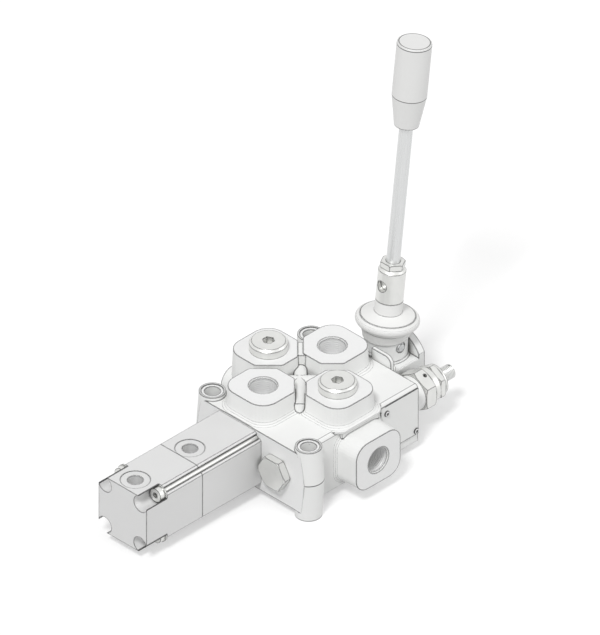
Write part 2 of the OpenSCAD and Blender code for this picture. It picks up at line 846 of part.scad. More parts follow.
module air_port(x, chamber_r) {
    translate([x, 0, block_side / 2]) {
        translate([0, 0, -0.3]) cylinder(h = over, r = air_spot_r);
        translate([0, 0, -air_port_depth]) cylinder(h = air_port_depth + over, r = air_port_r);
        translate([0, 0, -0.6]) cylinder(h = 0.6, r1 = air_port_r, r2 = air_port_r + 0.6);
        translate([0, 0, -block_side / 2 + chamber_r - 0.5])
            cylinder(h = block_side / 2 - chamber_r, r = 1.5);
    }
}

module outer_block() {
    color(light_grey) on_spool() difference() {
        block_blank(x_outer, x_joint);
        screw_slots(x_outer, x_joint);
        rod_x(cyl_out_x, x_joint + over, cyl_r);
        air_port(x_outer + air_port_out, cyl_r);
        for (sy = [-1, 1], sz = [-1, 1]) translate([0, sy * screw_off, sz * screw_off])
            rod_x(x_outer - over, x_outer + recess_depth, recess_r);
        face_groove(x_joint, cyl_r + 1.8, -1);
    }
}

module inner_block() {
    color(light_grey) on_spool() difference() {
        block_blank(x_joint, x_left);
        screw_slots(x_joint, x_left);
        rod_x(x_joint - over, cyl_in_x, cyl_r);
        rod_x(cyl_in_x - over, x_left + over, rod_r + fit);
        rod_x(x_left - spool_room_l, x_left + over, spool_r + 0.6);
        rod_x(rod_seal_x - ring_s - fit, rod_seal_x + ring_s + fit, rod_r + 2 * fit + 2 * ring_s);
        air_port(x_joint + air_port_in, cyl_r);
        face_groove(x_left, spool_r + 4, -1);
    }
}

// Groove for a face seal, cut from the plane at x towards its own block
module face_groove(x, r, way) {
    depth = 1.6 * ring_s * 0.8;
    tube_x(min(x, x + way * depth), max(x, x + way * depth) + over, r + 0.85, r - 0.85);
}

module block_seals() {
    color(black_rubber) on_spool() {
        ring_x(x_joint - 0.64, cyl_r + 1.8, 0.62);
        ring_x(x_left - 0.64, spool_r + 4, 0.62);
    }
}

rod_seal_x = (cyl_in_x + x_left - spool_room_l) / 2;
module rod_seal() {
    color(black_rubber) on_spool() ring_x(rod_seal_x, rod_r + fit + ring_s, ring_s);
}

module block_screws() {
    seat = x_outer + recess_depth - washer_t;
    color(zinc) screw_places() difference() {
        union() {
            rod_x(seat - head_l, seat, head_r);
            rod_x(seat - fit, x_left + screw_in_body, screw_r);
        }
        translate([seat - head_l - over, 0, 0]) rotate([0, 90, 0])
            cylinder(h = head_l / 2 + over, r = screw_r * 0.6 / cos(30), $fn = 6);
    }
}

module block_washers() {
    seat = x_outer + recess_depth;
    color(zinc) screw_places() tube_x(seat - washer_t, seat, recess_r - 0.15, screw_r + 0.1);
}

piston_ring_at = [0.25, 0.75];
module piston() {
    color(light_grey) on_spool() difference() {
        rod_x(piston_out_x, piston_x, cyl_r - fit);
        rod_x(piston_out_x - over, piston_x + over, rod_end_r + fit);
        for (k = piston_ring_at) let (x = piston_out_x + k * piston_l)
            tube_x(x - ring_s - fit, x + ring_s + fit, cyl_r + over, cyl_r - 2 * ring_s - 2 * fit);
    }
}

module piston_seals() {
    color(black_rubber) on_spool() for (k = piston_ring_at)
        ring_x(piston_out_x + k * piston_l, cyl_r - ring_s - fit, ring_s);
}

module piston_rod() {
    color(steel) on_spool() {
        rod_x(piston_x, spool_left, rod_r);
        rod_x(spool_left - fit, spool_left + spool_thread_l - over, rod_end_r);
        rod_x(piston_out_x - nut_l - 1, piston_x + fit, rod_end_r);
    }
}

module piston_nut() {
    color(zinc) on_spool() difference() {
        hex_x(piston_out_x - nut_l, piston_out_x, nut_af);
        rod_x(piston_out_x - nut_l - over, piston_out_x + over, rod_end_r + fit);
    }
}

spring_r = cyl_r - 3.4;
module inner_spring() {
    color(steel) on_spool() coil_x(piston_x, cyl_in_x, spring_r, 1, 4);
}

module outer_spring() {
    color(steel) on_spool() coil_x(cyl_out_x, piston_out_x, spring_r, 1, 4);
}

// Relief valve: cartridge, poppet held by a spring, adjusting screw with lock nut
relief_mouth_r = 2.5;
relief_wall_x = relief_seat_x + 3;
module relief_cartridge() {
    color(zinc) on_relief() difference() {
        union() {
            hex_x(relief_face_x, x_hex_end, relief_af);
            rod_x(relief_face_x - relief_thread_l + over, relief_face_x + over, port_r - fit);
            rod_x(relief_seat_x, relief_face_x - relief_thread_l + 2 * over, cross_r - fit);
        }
        rod_x(relief_seat_x - over, relief_wall_x + over, relief_mouth_r);
        rod_x(relief_wall_x, adjuster_from - 2, relief_bore_r);
        rod_x(adjuster_from - 3, x_hex_end + over, adjuster_r + fit);
        tube_x(relief_face_x - over, relief_face_x + ring_s, port_r + ring_s, port_r - 0.2);
        translate([drain_x, 0, 0]) hole_y(-cross_r - over, cross_r + over, 1.5);
        translate([drain_x, 0, -cross_r - over]) cylinder(h = 2 * (cross_r + over), r = 1.5);
        translate([relief_face_x + relief_hex_l * 0.73, 0, 0]) rotate([30, 0, 0])
            translate([0, 2.1, relief_af / 2 - 4]) cylinder(h = 4 + over, r = 1);
    }
}

module relief_seal() {
    color(black_rubber) on_relief()
        tube_x(relief_face_x, relief_face_x + ring_s, port_r + ring_s, port_r - 0.2);
}

poppet_tip_r = 0.8;
poppet_slope = relief_bore_r - fit - poppet_tip_r;
poppet_tip_x = relief_wall_x - (relief_mouth_r - poppet_tip_r) + 0.1;
poppet_back_x = poppet_tip_x + poppet_slope + relief_poppet_l;
spring_guide_r = 1.8;
relief_coil_r = 3;
relief_wire_r = 0.6;
module relief_poppet() {
    color(steel) on_relief() {
        cone_x(poppet_tip_x, poppet_tip_x + poppet_slope, poppet_tip_r, poppet_tip_r + poppet_slope);
        rod_x(poppet_tip_x + poppet_slope, poppet_back_x, relief_bore_r - fit);
        rod_x(poppet_back_x - over, poppet_back_x + spring_guide_l, spring_guide_r);
    }
}

module relief_spring() {
    color(steel) on_relief() coil_x(poppet_back_x, adjuster_from, relief_coil_r, relief_wire_r, 7);
}

module relief_adjuster() {
    color(zinc) on_relief() difference() {
        union() {
            rod_x(adjuster_from, x_adjuster_end - 0.6, adjuster_r);
            cone_x(x_adjuster_end - 0.6, x_adjuster_end, adjuster_r, adjuster_r - 0.6);
            rod_x(adjuster_from - 3, adjuster_from + over, spring_guide_r);
        }
        translate([x_adjuster_end - 3, 0, 0]) rotate([0, 90, 0]) cylinder(h = 4, r = 2.3, $fn = 6);
        translate([x_adjuster_end - 1.5, 0, -adjuster_r - over])
            cylinder(h = 2 * (adjuster_r + over), r = 0.7);
    }
}

module relief_ring() {
    color(zinc) on_relief() difference() {
        union() {
            cone_x(x_hex_end, x_hex_end + 0.5, relief_ring_r - 0.5, relief_ring_r);
            rod_x(x_hex_end + 0.5, x_ring_end - 0.5, relief_ring_r);
            cone_x(x_ring_end - 0.5, x_ring_end, relief_ring_r, relief_ring_r - 0.5);
        }
        rod_x(x_hex_end - over, x_ring_end + over, adjuster_r + fit);
    }
}

module relief_locknut() {
    color(zinc) on_relief() difference() {
        hex_x(x_ring_end, x_locknut_end, locknut_af);
        rod_x(x_ring_end - over, x_locknut_end + over, adjuster_r + fit);
    }
}

module relief_washer() {
    color(zinc) on_relief() tube_x(x_locknut_end, x_washer_end, relief_washer_r, adjuster_r + fit);
}

// Lever box: flange on the body, deck over the spool end, turret with the pivot
box_screw_l = 9;
deck_edge_r = 1;
module box_outline() {
    side = box_half - deck_edge_r;
    intersection() {
        circle(r = box_half);
        translate([-box_half, -box_half]) square([2 * box_half, box_half]);
    }
    translate([-box_half, 0]) square([2 * box_half, deck_h - deck_edge_r]);
    translate([-side, 0]) square([2 * side, deck_h]);
    for (s = [-side, side]) translate([s, deck_h - deck_edge_r]) circle(r = deck_edge_r);
}

// The flange stands higher at the front than at the rear, with a notch for the boot between
flange_drop = 3;
function flange_top(side) = body_top + flange_rise - (side > 0 ? flange_drop : 0) - spool_z;
module flange_half_plate(side) {
    low = spool_z - foot_h - 0.5;
    high = flange_top(side);
    intersection() {
        translate([0, (high - low) / 2]) round_rect(flange_half, (high + low) / 2, 4.5);
        translate([side > 0 ? -over : over - big, -big]) square([big, 2 * big]);
    }
}

module flange_plate() {
    notch = turret_r - 1.5;
    translate([x_right, 0, 0]) rotate([90, 0, 90]) linear_extrude(height = flange_t) difference() {
        union() for (s = [-1, 1]) flange_half_plate(s);
        translate([-relief_y, 0]) circle(r = relief_boss_r + 0.3);
        translate([-notch, body_top - spool_z + 1]) square([2 * notch, big]);
    }
}

// Gusset from the flange down to the deck
rib_l = 9;
rib_t = 3;
module box_rib(side) {
    inner = turret_r - 1;
    top = flange_top(side) - 1;
    translate([0, side > 0 ? inner + rib_t : -inner, 0]) rotate([90, 0, 0]) linear_extrude(height = rib_t)
        polygon([
            [x_flange - 0.5, deck_h - 2], [x_flange - 0.5, top], [x_flange, top],
            [x_flange + rib_l, deck_h], [x_flange + rib_l, deck_h - 2]
        ]);
}

module lever_box() {
    color(iron) on_spool() difference() {
        union() {
            flange_plate();
            translate([x_right, 0, 0]) rotate([90, 0, 90]) linear_extrude(height = x_disc_end - x_right)
                box_outline();
            translate([x_box_end, 0, 0]) rotate([90, 0, 90]) linear_extrude(height = disc_t) disc_outline();
            translate([turret_x, 0, 0]) cylinder(h = turret_top - spool_z, r = turret_r);
            translate([turret_x, 0, deck_h]) cylinder(h = 1, r1 = turret_r + 1, r2 = turret_r);
            rod_x(x_right, turret_x, box_bore_r + 1.5);
            for (s = [-1, 1]) box_rib(s);
        }
        rod_x(x_right - over, x_disc_end + over, box_bore_r);
        rod_x(x_gasket, x_disc_end + over, cover_r + 0.2);
        translate([turret_x, 0, 0]) cylinder(h = big, r = turret_bore_r);
        translate([x_disc_end, -big, -big]) cube([big, 2 * big, 2 * big]);
        translate([pivot_x, 0, pivot_h]) hole_y(-big, big, pin_r + 0.01);
        for (sy = [-1, 1], sz = [-1, 1]) translate([0, sy * box_screw_y, sz * box_screw_z])
            rod_x(x_right - over, x_flange + over, box_screw_r + 0.2);
        cover_screw_places() rod_x(x_gasket - cover_screw_l - over, x_gasket + over, cover_screw_r + fit);
    }
}

module box_screws() {
    color(zinc) on_spool() for (sy = [-1, 1], sz = [-1, 1])
        translate([0, sy * box_screw_y, sz * box_screw_z]) difference() {
            union() {
                rod_x(x_flange, x_flange + 2 * box_screw_r, 1.7 * box_screw_r);
                rod_x(x_right - box_screw_l, x_flange + fit, box_screw_r);
            }
            translate([x_flange + box_screw_r, 0, 0]) rotate([0, 90, 0])
                cylinder(h = 2 * box_screw_r, r = 0.8 * box_screw_r / cos(30), $fn = 6);
        }
}

module cover_screw_places() {
    for (a = [0, 180, 270]) rotate([a, 0, 0]) translate([0, cover_screw_at, 0]) children();
}

module disc_outline() {
    intersection() {
        circle(r = disc_r);
        square([2 * box_half, 2 * disc_r], center = true);
    }
}

module cover_gasket() {
    color(black_rubber) on_spool() difference() {
        rod_x(x_gasket, x_cover, cover_r);
        rod_x(x_gasket - over, x_cover + over, box_bore_r);
        cover_screw_places() rod_x(x_gasket - over, x_cover + over, cover_screw_r + 0.1);
    }
}

cover_screw_l = 6;
cover_sink = 1.2;
module end_cover() {
    color(iron) on_spool() difference() {
        rod_x(x_cover, x_disc_end, cover_r);
        cover_screw_places() {
            rod_x(x_cover - over, x_disc_end + over, cover_screw_r + 0.1);
            cone_x(
                x_disc_end - cover_sink, x_disc_end,
                cover_screw_r + 0.1, cover_screw_r + cover_sink + 0.1
            );
        }
    }
}

module cover_screws() {
    color(zinc) on_spool() cover_screw_places() difference() {
        union() {
            rod_x(x_gasket - cover_screw_l, x_disc_end - cover_sink + fit, cover_screw_r);
            cone_x(x_disc_end - cover_sink, x_disc_end, cover_screw_r, cover_screw_r + cover_sink);
        }
        translate([x_disc_end - 1, 0, 0]) rotate([0, 90, 0]) cylinder(h = 3, r = 1, $fn = 6);
    }
}

module pivot_pin() {
    half = sqrt(pow(turret_r, 2) - pow(pin_r + 0.5, 2));
    color(steel) datum() translate([pivot_x, 0, pivot_z]) {
        hole_y(-half, half, pin_r);
        translate([0, -half, 0]) rotate([90, 0, 0]) cylinder(h = 0.9, r1 = pin_r, r2 = pin_r - 0.6);
    }
}

// Lever arm: ball in the spool pocket, eye on the pin, stem through the boot, hub above it
module lever_arm() {
    color(zinc) on_lever() difference() {
        union() {
            translate([0, 0, -arm_l]) sphere(r = ball_r);
            translate([0, 0, -arm_l]) cylinder(h = arm_l, r = shank_r);
            translate([0, 0, -eye_r - 2]) cylinder(h = 4, r1 = shank_r, r2 = eye_r - 1.5);
            hole_y(-eye_half, eye_half, eye_r);
            cylinder(h = boot_top, r = stem_r);
            translate([0, 0, boot_top - 6]) cylinder(h = 2, r1 = stem_r, r2 = neck_r);
            translate([0, 0, boot_top - 4]) cylinder(h = hub_from - boot_top + 5, r = neck_r);
            translate([0, 0, hub_from]) cylinder(h = hub_to - hub_from - 1.8, r = hub_r);
            translate([0, 0, hub_to - 1.8]) cylinder(h = 1.8, r1 = hub_r, r2 = hub_r - 1.8);
        }
        hole_y(-eye_half - over, eye_half + over, pin_r + fit);
        translate([0, 0, hub_to - rod_sink]) cylinder(h = rod_sink + over, r = lever_rod_r + fit);
        translate([-hub_r - over, 0, (hub_from + hub_to) / 2]) rotate([0, 90, 0])
            cylinder(h = hub_r - lever_rod_r - 0.6 + over, r = 3.4);
    }
}

module lever_nut() {
    color(zinc) on_lever() translate([0, 0, hub_to]) difference() {
        rotate(30) hex_nut(lever_nut_af, lever_nut_l, top_only = true);
        translate([0, 0, -over]) cylinder(h = lever_nut_l + 2 * over, r = lever_rod_r + fit);
    }
}

module lever_rod() {
    color(steel) on_lever() translate([0, 0, hub_to - rod_sink + over])
        cylinder(h = knob_from + rod_sink - hub_to + rod_sink, r = lever_rod_r);
}

module lever_knob() {
    edge = 1.2;
    top = knob_from + knob_l;
    color(plastic) on_lever() difference() {
        rotate_extrude() {
            polygon([
                [0, knob_from], [knob_foot_r, knob_from], [knob_top_r, knob_from + knob_taper_l],
                [knob_top_r, top - edge], [knob_top_r - edge, top - edge], [knob_top_r - edge, top], [0, top]
            ]);
            intersection() {
                translate([knob_top_r - edge, top - edge]) circle(r = edge);
                translate([0, knob_from]) square([knob_top_r + over, knob_l]);
            }
        }
        translate([0, 0, knob_from - over]) cylinder(h = rod_sink + 2 * over + 0.5, r = lever_rod_r + fit);
    }
}

// Rubber boot: lip round the turret, wall, crease, belly, cone and collar round the lever stem.
// Heights are measured from the pivot along the lever
boot_foot = 5.6;
boot_crease = 8.8;
boot_belly = 12.9;
boot_edge = 16.1;
boot_foot_r = turret_r + 0.9;
boot_crease_r = boot_r - 3.5;
boot_edge_r = boot_r - 2.8;
module boot_shape(inset) {
    rotate_extrude() polygon([
        [0, boot_foot + inset], [boot_foot_r - inset, boot_foot + inset],
        [boot_crease_r - inset, boot_crease], [boot_r - inset, boot_belly],
        [boot_edge_r - inset, boot_edge - inset * 0.6],
        [hub_r + 0.4 - inset * 0.6, boot_top + 0.4 - inset], [0, boot_top + 0.4 - inset]
    ]);
}

module lever_boot() {
    color(rubber) difference() {
        union() {
            on_lever() boot_shape(0);
            on_lever() translate([0, 0, boot_top - over])
                cylinder(h = hub_from - boot_top + over, r = hub_r);
            datum() translate([turret_x, 0, turret_top - boot_lip])
                cylinder(h = boot_lip + 2.8, r = turret_r + 1);
        }
        on_lever() boot_shape(boot_wall);
        datum() translate([turret_x, 0, turret_top - 5]) cylinder(h = 5, r = turret_r);
        datum() translate([turret_x, 0, turret_top - 1]) cylinder(h = 4, r = turret_r - 1.2);
        on_lever() cylinder(h = hub_from + over, r = neck_r);
        on_lever() cylinder(h = boot_top, r = neck_r + 1.2);
    }
}

valve_body();
top_plugs();
top_plug_seals();
end_plug();
end_plug_seal();
side_pins();
check_poppet();
check_spring();
spool();
spool_seals();
outer_block();
inner_block();
block_seals();
block_screws();
block_washers();
piston();
piston_seals();
piston_rod();
piston_nut();
rod_seal();
inner_spring();
outer_spring();
relief_cartridge();
relief_seal();
relief_poppet();
relief_spring();
relief_adjuster();
relief_ring();
relief_locknut();
relief_washer();
lever_box();
box_screws();
cover_gasket();
end_cover();
cover_screws();
pivot_pin();
lever_arm();
lever_nut();
lever_rod();
lever_knob();
lever_boot();
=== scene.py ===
# One-section hydraulic valve with an air cylinder, a hand lever and a relief valve. The sections
# follow its assembly: the casting and what goes into it, the air cylinder at one end, the relief
# valve and the lever box at the other, and last the lever and its boot. Metres, +Z up.
import math

import bpy
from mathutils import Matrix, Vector


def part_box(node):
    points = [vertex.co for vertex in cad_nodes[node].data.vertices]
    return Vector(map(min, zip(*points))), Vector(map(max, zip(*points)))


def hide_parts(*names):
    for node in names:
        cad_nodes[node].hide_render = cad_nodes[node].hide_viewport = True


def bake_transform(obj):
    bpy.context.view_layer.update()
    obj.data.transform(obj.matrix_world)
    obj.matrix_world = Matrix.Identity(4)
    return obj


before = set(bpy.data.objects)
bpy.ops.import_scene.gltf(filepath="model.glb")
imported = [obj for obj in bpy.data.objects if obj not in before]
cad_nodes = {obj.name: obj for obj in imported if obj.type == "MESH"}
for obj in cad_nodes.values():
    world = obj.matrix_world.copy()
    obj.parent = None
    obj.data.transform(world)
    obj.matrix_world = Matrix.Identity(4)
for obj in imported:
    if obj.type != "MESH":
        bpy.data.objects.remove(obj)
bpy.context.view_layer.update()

# Camera: the picture is a true isometric drawing, seen from the left front corner at 1.78 pixels
# to the millimetre, so the camera is a parallel one that takes in the picture's 635 pixels of height.
picture_height = 635
pixels_per_metre = 1780
looked_at = Vector((0.04085, -0.02875, 0.09075))
towards_camera = Vector((-1, -1, 1)).normalized()
bpy.ops.object.camera_add(location=looked_at + towards_camera * 1.2)
camera = bpy.context.object
camera.rotation_euler = (-towards_camera).to_track_quat("-Z", "Y").to_euler()
camera.data.type = "ORTHO"
camera.data.ortho_scale = picture_height / pixels_per_metre
camera.data.clip_end = 10
bpy.context.scene.camera = camera
bpy.context.scene.view_settings.view_transform = "Standard"


# Floor: a plain pale board just under the feet, which keeps the valve's shadow. Where it is seen,
# straight or mirrored in metal, it also glows, so that the ground of the picture comes out white.
class Wire:
    """One socket of a material. Sums, differences, products and powers of wires add Math nodes."""

    def __init__(self, tree, socket=None):
        self.tree, self.socket = tree, socket

    def node(self, kind, settings=(), values=(), out=0):
        made = self.tree.nodes.new("ShaderNode" + kind)
        for name, value in dict(settings).items():
            setattr(made, name, value)
        for name, value in dict(values).items():
            if isinstance(value, Wire):
                self.tree.links.new(value.socket, made.inputs[name])
            else:
                made.inputs[name].default_value = value
        return Wire(self.tree, made.outputs[out])

    def math(self, operation, *values):
        return self.node("Math", {"operation": operation}, dict(enumerate(values)))

    def __add__(self, other):
        return self.math("ADD", self, other)

    def __sub__(self, other):
        return self.math("SUBTRACT", self, other)

    def __rsub__(self, other):
        return self.math("SUBTRACT", other, self)

    def __mul__(self, other):
        return self.math("MULTIPLY", self, other)

    def __pow__(self, other):
        return self.math("POWER", self, other)

    def __abs__(self):
        return self.math("ABSOLUTE", self)

    __radd__ = __add__
    __rmul__ = __mul__

    def rise(self, low, high):
        """0 below low, 1 above high, smooth between."""
        return self.node("MapRange", {"interpolation_type": "SMOOTHSTEP"},
                         {"Value": self, "From Min": low, "From Max": high})

    def wave(self, pitch):
        """Up to 1 and down to -1, once in each pitch."""
        return self.math("SINE", self * (2 * math.pi / pitch))

    def between(self, a, b):
        """Colour a where this is 0 and b where it is 1."""
        return self.node("Mix", {"data_type": "RGBA"}, {0: self, 6: a, 7: b}, out=2)


def colour(r, g=None, b=None):
    """A colour for a socket. One number alone is a grey."""
    return (r, r if g is None else g, r if b is None else b, 1)


def new_finish(name, metallic=0.0, specular=0.5):
    """A new material, a wire to build its nodes on, and its shader."""
    made = bpy.data.materials.new(name)
    made.use_nodes = True
    shader = made.node_tree.nodes["Principled BSDF"]
    shader.inputs["Metallic"].default_value = metallic
    shader.inputs["Specular IOR Level"].default_value = specular
    return made, Wire(made.node_tree), shader


def seen_itself(w):
    """1 for what the camera sees, straight or mirrored, and 0 for the light that reaches the valve."""
    return w.node("LightPath", out="Is Camera Ray") + w.node("LightPath", out="Is Glossy Ray")


floor_paint, w, shader = new_finish("floor_paint", specular=0.1)
shader.inputs["Base Color"].default_value = colour(0.62)
shader.inputs["Roughness"].default_value = 0.9
glow = w.node("Emission", values={"Color": colour(1), "Strength": 0.42})
seen_glow = w.node("MixShader", values={0: seen_itself(w), 2: glow})
board = w.node("AddShader", values={0: Wire(w.tree, shader.outputs[0]), 1: seen_glow})
w.tree.links.new(board.socket, w.tree.nodes["Material Output"].inputs["Surface"])

floor_below_feet = 0.0002
bpy.ops.mesh.primitive_plane_add(size=8, location=(0, 0, -floor_below_feet))
floor = bpy.context.object
floor.name = "floor"
floor.data.materials.append(floor_paint)

# Light: an even sky, which is plain white where it is seen, a broad soft sun from the left front and
# a weaker one from the right, so that top, left and right faces differ as they do on a bench.
world = bpy.data.worlds.new("sky")
world.use_nodes = True
bpy.context.scene.world = world
sky = Wire(world.node_tree)
sky_light = world.node_tree.nodes["Background"]
sky_light.inputs["Color"].default_value = colour(1)
sky_light.inputs["Strength"].default_value = 0.54
white = sky.node("Background", values={"Color": colour(1), "Strength": 1.0})
lit = Wire(sky.tree, sky_light.outputs[0])
seen_sky = sky.node("MixShader", values={0: seen_itself(sky), 1: lit, 2: white})
world.node_tree.links.new(seen_sky.socket, world.node_tree.nodes["World Output"].inputs["Surface"])

suns = (  # name, power, spread in degrees, the way towards it
    ("key", 1.7, 12, (-0.5, -0.24, 0.83)),
    ("fill", 0.42, 40, (0.6, -0.7, 0.4)),
)
for name, power, spread, way in suns:
    bpy.ops.object.light_add(type="SUN", location=Vector(way) * 3)
    lamp = bpy.context.object
    lamp.name = name
    lamp.rotation_euler = Vector(way).to_track_quat("Z", "Y").to_euler()
    lamp.data.energy = power
    lamp.data.angle = math.radians(spread)


# Casting: the valve body with its bosses and posts is grey iron, cast in sand and painted off-white.
# The port faces, post tops, both ends and the feet are machined after painting and stay bare. Its
# edges are rubbed dark.
def split(vector):
    """The three parts of a place or a normal."""
    parts = vector.node("SeparateXYZ", values={0: vector})
    return [Wire(vector.tree, parts.socket.node.outputs[k]) for k in range(3)]


def near(wire, low, high):
    """1 within low of nought, 0 beyond high, smooth between."""
    return 1 - abs(wire).rise(low, high)


def away(a, b, a0, b0):
    """Distance from an axis that passes through (a0, b0)."""
    return ((a - a0) ** 2 + (b - b0) ** 2) ** 0.5


def nearest(first, *others):
    """The smallest of several distances."""
    for other in others:
        first = first.math("MINIMUM", first, other)
    return first


def mottle(place, scale, detail, roughness=0.5):
    """A soft random pattern from 0 to 1, with so many patches to the unit of place."""
    return place.node("TexNoise", values={"Vector": place, "Scale": scale, "Detail": detail,
                                          "Roughness": roughness})


def out_of_corner_shade(w, reach, low, high):
    """Painted shade: 0 deep in corners, where ambient occlusion finds little open sky, and 1 on open faces.
    """
    return w.node("AmbientOcclusion", {"samples": 6}, {"Distance": reach}, out="AO").rise(low, high)


def worn_edges(w, radius):
    """1 on the edges, where hands and rags have rubbed, and 0 on the faces between them."""
    rounded = w.node("Bevel", {"samples": 6}, {"Radius": radius}, out="Normal")
    turned = w.node("VectorMath", {"operation": "DOT_PRODUCT"},
                    {0: rounded, 1: w.node("NewGeometry", out="Normal")}, out="Value")
    return (1 - turned).rise(0.011, 0.03)


def feed(wire, shader, socket):
    wire.tree.links.new(wire.socket, shader.inputs[socket])


def emboss(height, shader, strength, depth, edge_r=None):
    """Raises a pattern on the surface. With edge_r, edges look rounded to that radius too."""
    values = {"Strength": strength, "Distance": depth, "Height": height}
    if edge_r:
        values["Normal"] = height.node("Bevel", {"samples": 4}, {"Radius": edge_r}, out="Normal")
    feed(height.node("Bump", values=values, out="Normal"), shader, "Normal")


def dress(finish, *names):
    """Puts a finish on CAD nodes."""
    for name in names:
        for place in cad_nodes[name].material_slots:
            place.material = finish


axis_x, axis_y, axis_z = 0.0399, -0.0278, 0.02475  # middle of the body, at the height of the spool
half_length = 0.04775
body_top, front_face, rounding = 0.0445, -0.0756, 0.0020
boss_top = 0.05785
open_ports = ((0.0125, axis_y), (0.0675, axis_y))
plugged_ports = ((axis_x, -0.0595), (axis_x, -0.0047))
port_r, port_floor, port_pitch = 0.0078, 0.0450, 0.001337
side_middle = -0.0382
side_face, side_floor = 0.0527, 0.0415  # how far the side ports' faces and floors lie from that middle
cutter_feed = 0.000698
posts, post_r, post_top = ((0, 0), (0, -0.0764), (0.0783, 0)), 0.0092, 0.0462
lip_y, lip_z = -0.0778, 0.0433  # the strip between the pressure boss's front lip and the side boss

casting_paint, w, shader = new_finish("casting_paint", specular=0.4)
at = w.node("TexCoord", out="Object")
x, y, z = split(at)
nx, ny, nz = split(w.node("TexCoord", out="Normal"))
up = nz.rise(0.8, 0.9)
down = (0 - nz).rise(0.8, 0.9)
sideways = abs(ny).rise(0.8, 0.9)
endways = abs(nx).rise(0.8, 0.9)
to_port = nearest(*(away(x, y, port_x, port_y) for port_x, port_y in open_ports + plugged_ports))
to_side_port = away(x, z, axis_x, axis_z)
from_middle = abs(y - side_middle)

# machined after painting
port_tops = z.rise(boss_top - 0.0001, boss_top) * up
port_sides = from_middle.rise(side_face - 0.0002, side_face) * sideways
post_rings = near(z - post_top, 0.0001, 0.0002) * up
ends = abs(x - axis_x).rise(half_length - 0.00005, half_length) * endways
feet = near(z, 0.0001, 0.0002) * down
in_port = near(to_port, port_r, port_r + 0.0001) * z.rise(port_floor, port_floor + 0.0005)
in_side_port = near(to_side_port, port_r, port_r + 0.0001) * from_middle.rise(side_floor, side_floor + 0.0005)
bare = (port_tops + port_sides + post_rings + ends + feet + in_port + in_side_port).rise(0.4, 0.6)
threads = in_port * z.wave(port_pitch) + in_side_port * y.wave(port_pitch)
cutter_rings = port_tops * to_port.wave(cutter_feed) + port_sides * to_side_port.wave(cutter_feed)

# left by the mould: the parting line half way up, the posts' joint, the rounded top front edge
parting_line = near(z - axis_z, 0.0001, 0.0004)
to_post = nearest(*(away(x, y, post_x, post_y) for post_x, post_y in posts))
post_joint = near(to_post, post_r, post_r + 0.0001) * near(z - axis_z, 0.0002, 0.0004) * (1 - endways)
edge_on_top = near(y - (front_face + rounding), 0.0001, 0.0003) * near(z - body_top, 0.0001, 0.0002)
edge_in_front = near(z - (body_top - rounding), 0.0001, 0.0003) * near(y - front_face, 0.0001, 0.0002)
under_lip = near(x - axis_x, 0.0200, 0.0225) * near(y - lip_y, 0.0021, 0.0023)
under_lip = under_lip * near(z - lip_z, 0.0028, 0.0033)

sand = mottle(at, scale=700, detail=4, roughness=0.6)
swell = mottle(at, scale=90, detail=2)
tint = mottle(at, scale=45, detail=3)
paint = tint.between(colour(0.81, 0.815, 0.805), colour(0.86, 0.863, 0.855))
metal = sand.between(colour(0.81, 0.812, 0.81), colour(0.86, 0.862, 0.86))
# Painted shade: ambient occlusion darkens corners and crevices towards this grey, less so inside the ports
# and on the strip under the lip.
corner_shade_colour = tint.between(colour(0.44, 0.44, 0.43), colour(0.54, 0.54, 0.53))
out_of_shade = out_of_corner_shade(w, reach=0.006, low=0.02, high=0.5) + (in_port + in_side_port) * 0.7 + under_lip * 0.5
shaded_coat = out_of_shade.between(corner_shade_colour, bare.between(paint, metal))
mould_lines = post_joint + (edge_on_top + edge_in_front) * 0.8
worn = worn_edges(w, radius=0.0011) * (1 - under_lip * 0.65) + mould_lines
feed(worn.between(shaded_coat, colour(0.06)), shader, "Base Color")
feed(0.5 - bare * 0.16 + sand * 0.1, shader, "Roughness")
feed(bare * 0.08, shader, "Metallic")
rough_skin = (sand * 0.6 + swell * 1.6 + parting_line * 0.3) * (1 - bare)
emboss(rough_skin + threads * 2 + cutter_rings * 0.1, shader, strength=0.5, depth=0.0001, edge_r=0.0006)
dress(casting_paint, "valve_body")

# Side pins: two zinc plated screw pins that close cross drillings in the front face, one high at the
# left of its flat pad and one low at the right. Each is turned with a rim and a small socket.
pin_r, pin_rim, socket_r, blur = 0.0019, 0.0004, 0.0009, 0.0001
pins_low, pins_high = (Vector(corner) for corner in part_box("side_pins"))
pin_finish, w, shader = new_finish("pin_plating", metallic=0.5)
at = w.node("TexCoord", out="Object")
x, y, z = split(at)
to_pin = nearest(away(x, z, pins_low.x + pin_r, pins_high.z - pin_r),
                 away(x, z, pins_high.x - pin_r, pins_low.z + pin_r))
shaded_socket = near(to_pin, socket_r - blur, socket_r + blur)
on_rim = to_pin.rise(pin_r - pin_rim - blur, pin_r - pin_rim + blur)
cloud = mottle(at, scale=900, detail=2)
zinc = cloud.between(colour(0.62), colour(0.70))
# The socket is painted near black as painted shade, and the rim is a dark ring.
feed((shaded_socket + on_rim).between(zinc, colour(0.05)), shader, "Base Color")
feed(0.28 + cloud * 0.14, shader, "Roughness")
dress(pin_finish, "side_pins")


